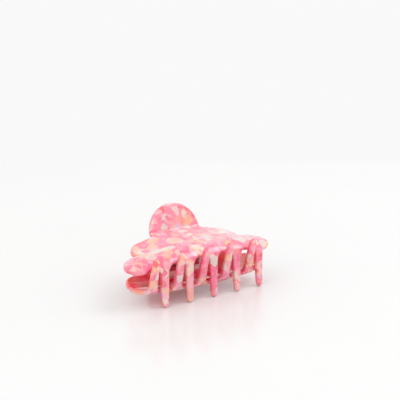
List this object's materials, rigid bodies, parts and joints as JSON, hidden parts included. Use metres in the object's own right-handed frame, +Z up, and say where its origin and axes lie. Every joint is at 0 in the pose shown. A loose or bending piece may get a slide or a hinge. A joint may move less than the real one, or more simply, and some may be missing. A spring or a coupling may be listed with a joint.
{
  "type": "claw hair clip",
  "caption": "Large claw clip for hair: heat-formed acetate jaws with interleaving teeth and round finger tabs, on a sprung steel hinge.",
  "frame": {"origin": "under the middle of the closed clip's box, on the surface that it lies on", "axes": "+X along the clip and its hinge axis, +Z up with the closed clip lying on its side, mouth towards -Y, finger tabs towards +Y"},
  "size_m": [0.0931, 0.055, 0.0456],
  "materials": {
    "acetate": "polished cellulose acetate with irregular pink, coral, cream and grey-green chips",
    "plated_steel": "nickel-plated stamped steel",
    "spring_steel": "bright drawn spring wire"
  },
  "bodies": {
    "lower_half": {"jaw_lower": "acetate", "hinge_leaf_lower": "plated_steel", "stud_lower_left": "plated_steel", "stud_lower_right": "plated_steel", "hinge_pin": "plated_steel", "torsion_spring": "spring_steel"},
    "upper_half": {"jaw_upper": "acetate", "hinge_leaf_upper": "plated_steel", "stud_upper_left": "plated_steel", "stud_upper_right": "plated_steel"}
  },
  "joints": [
    {"name": "jaw_hinge", "type": "hinge", "parent": "lower_half", "child": "upper_half", "pos_m": [0, 0.01185, 0.02134], "axis": [-1, 0, 0], "range_deg": [0, 100], "stiffness_Nm_per_rad": 0.12, "springref_deg": -51.57, "deforming": ["torsion_spring"]}
  ]
}
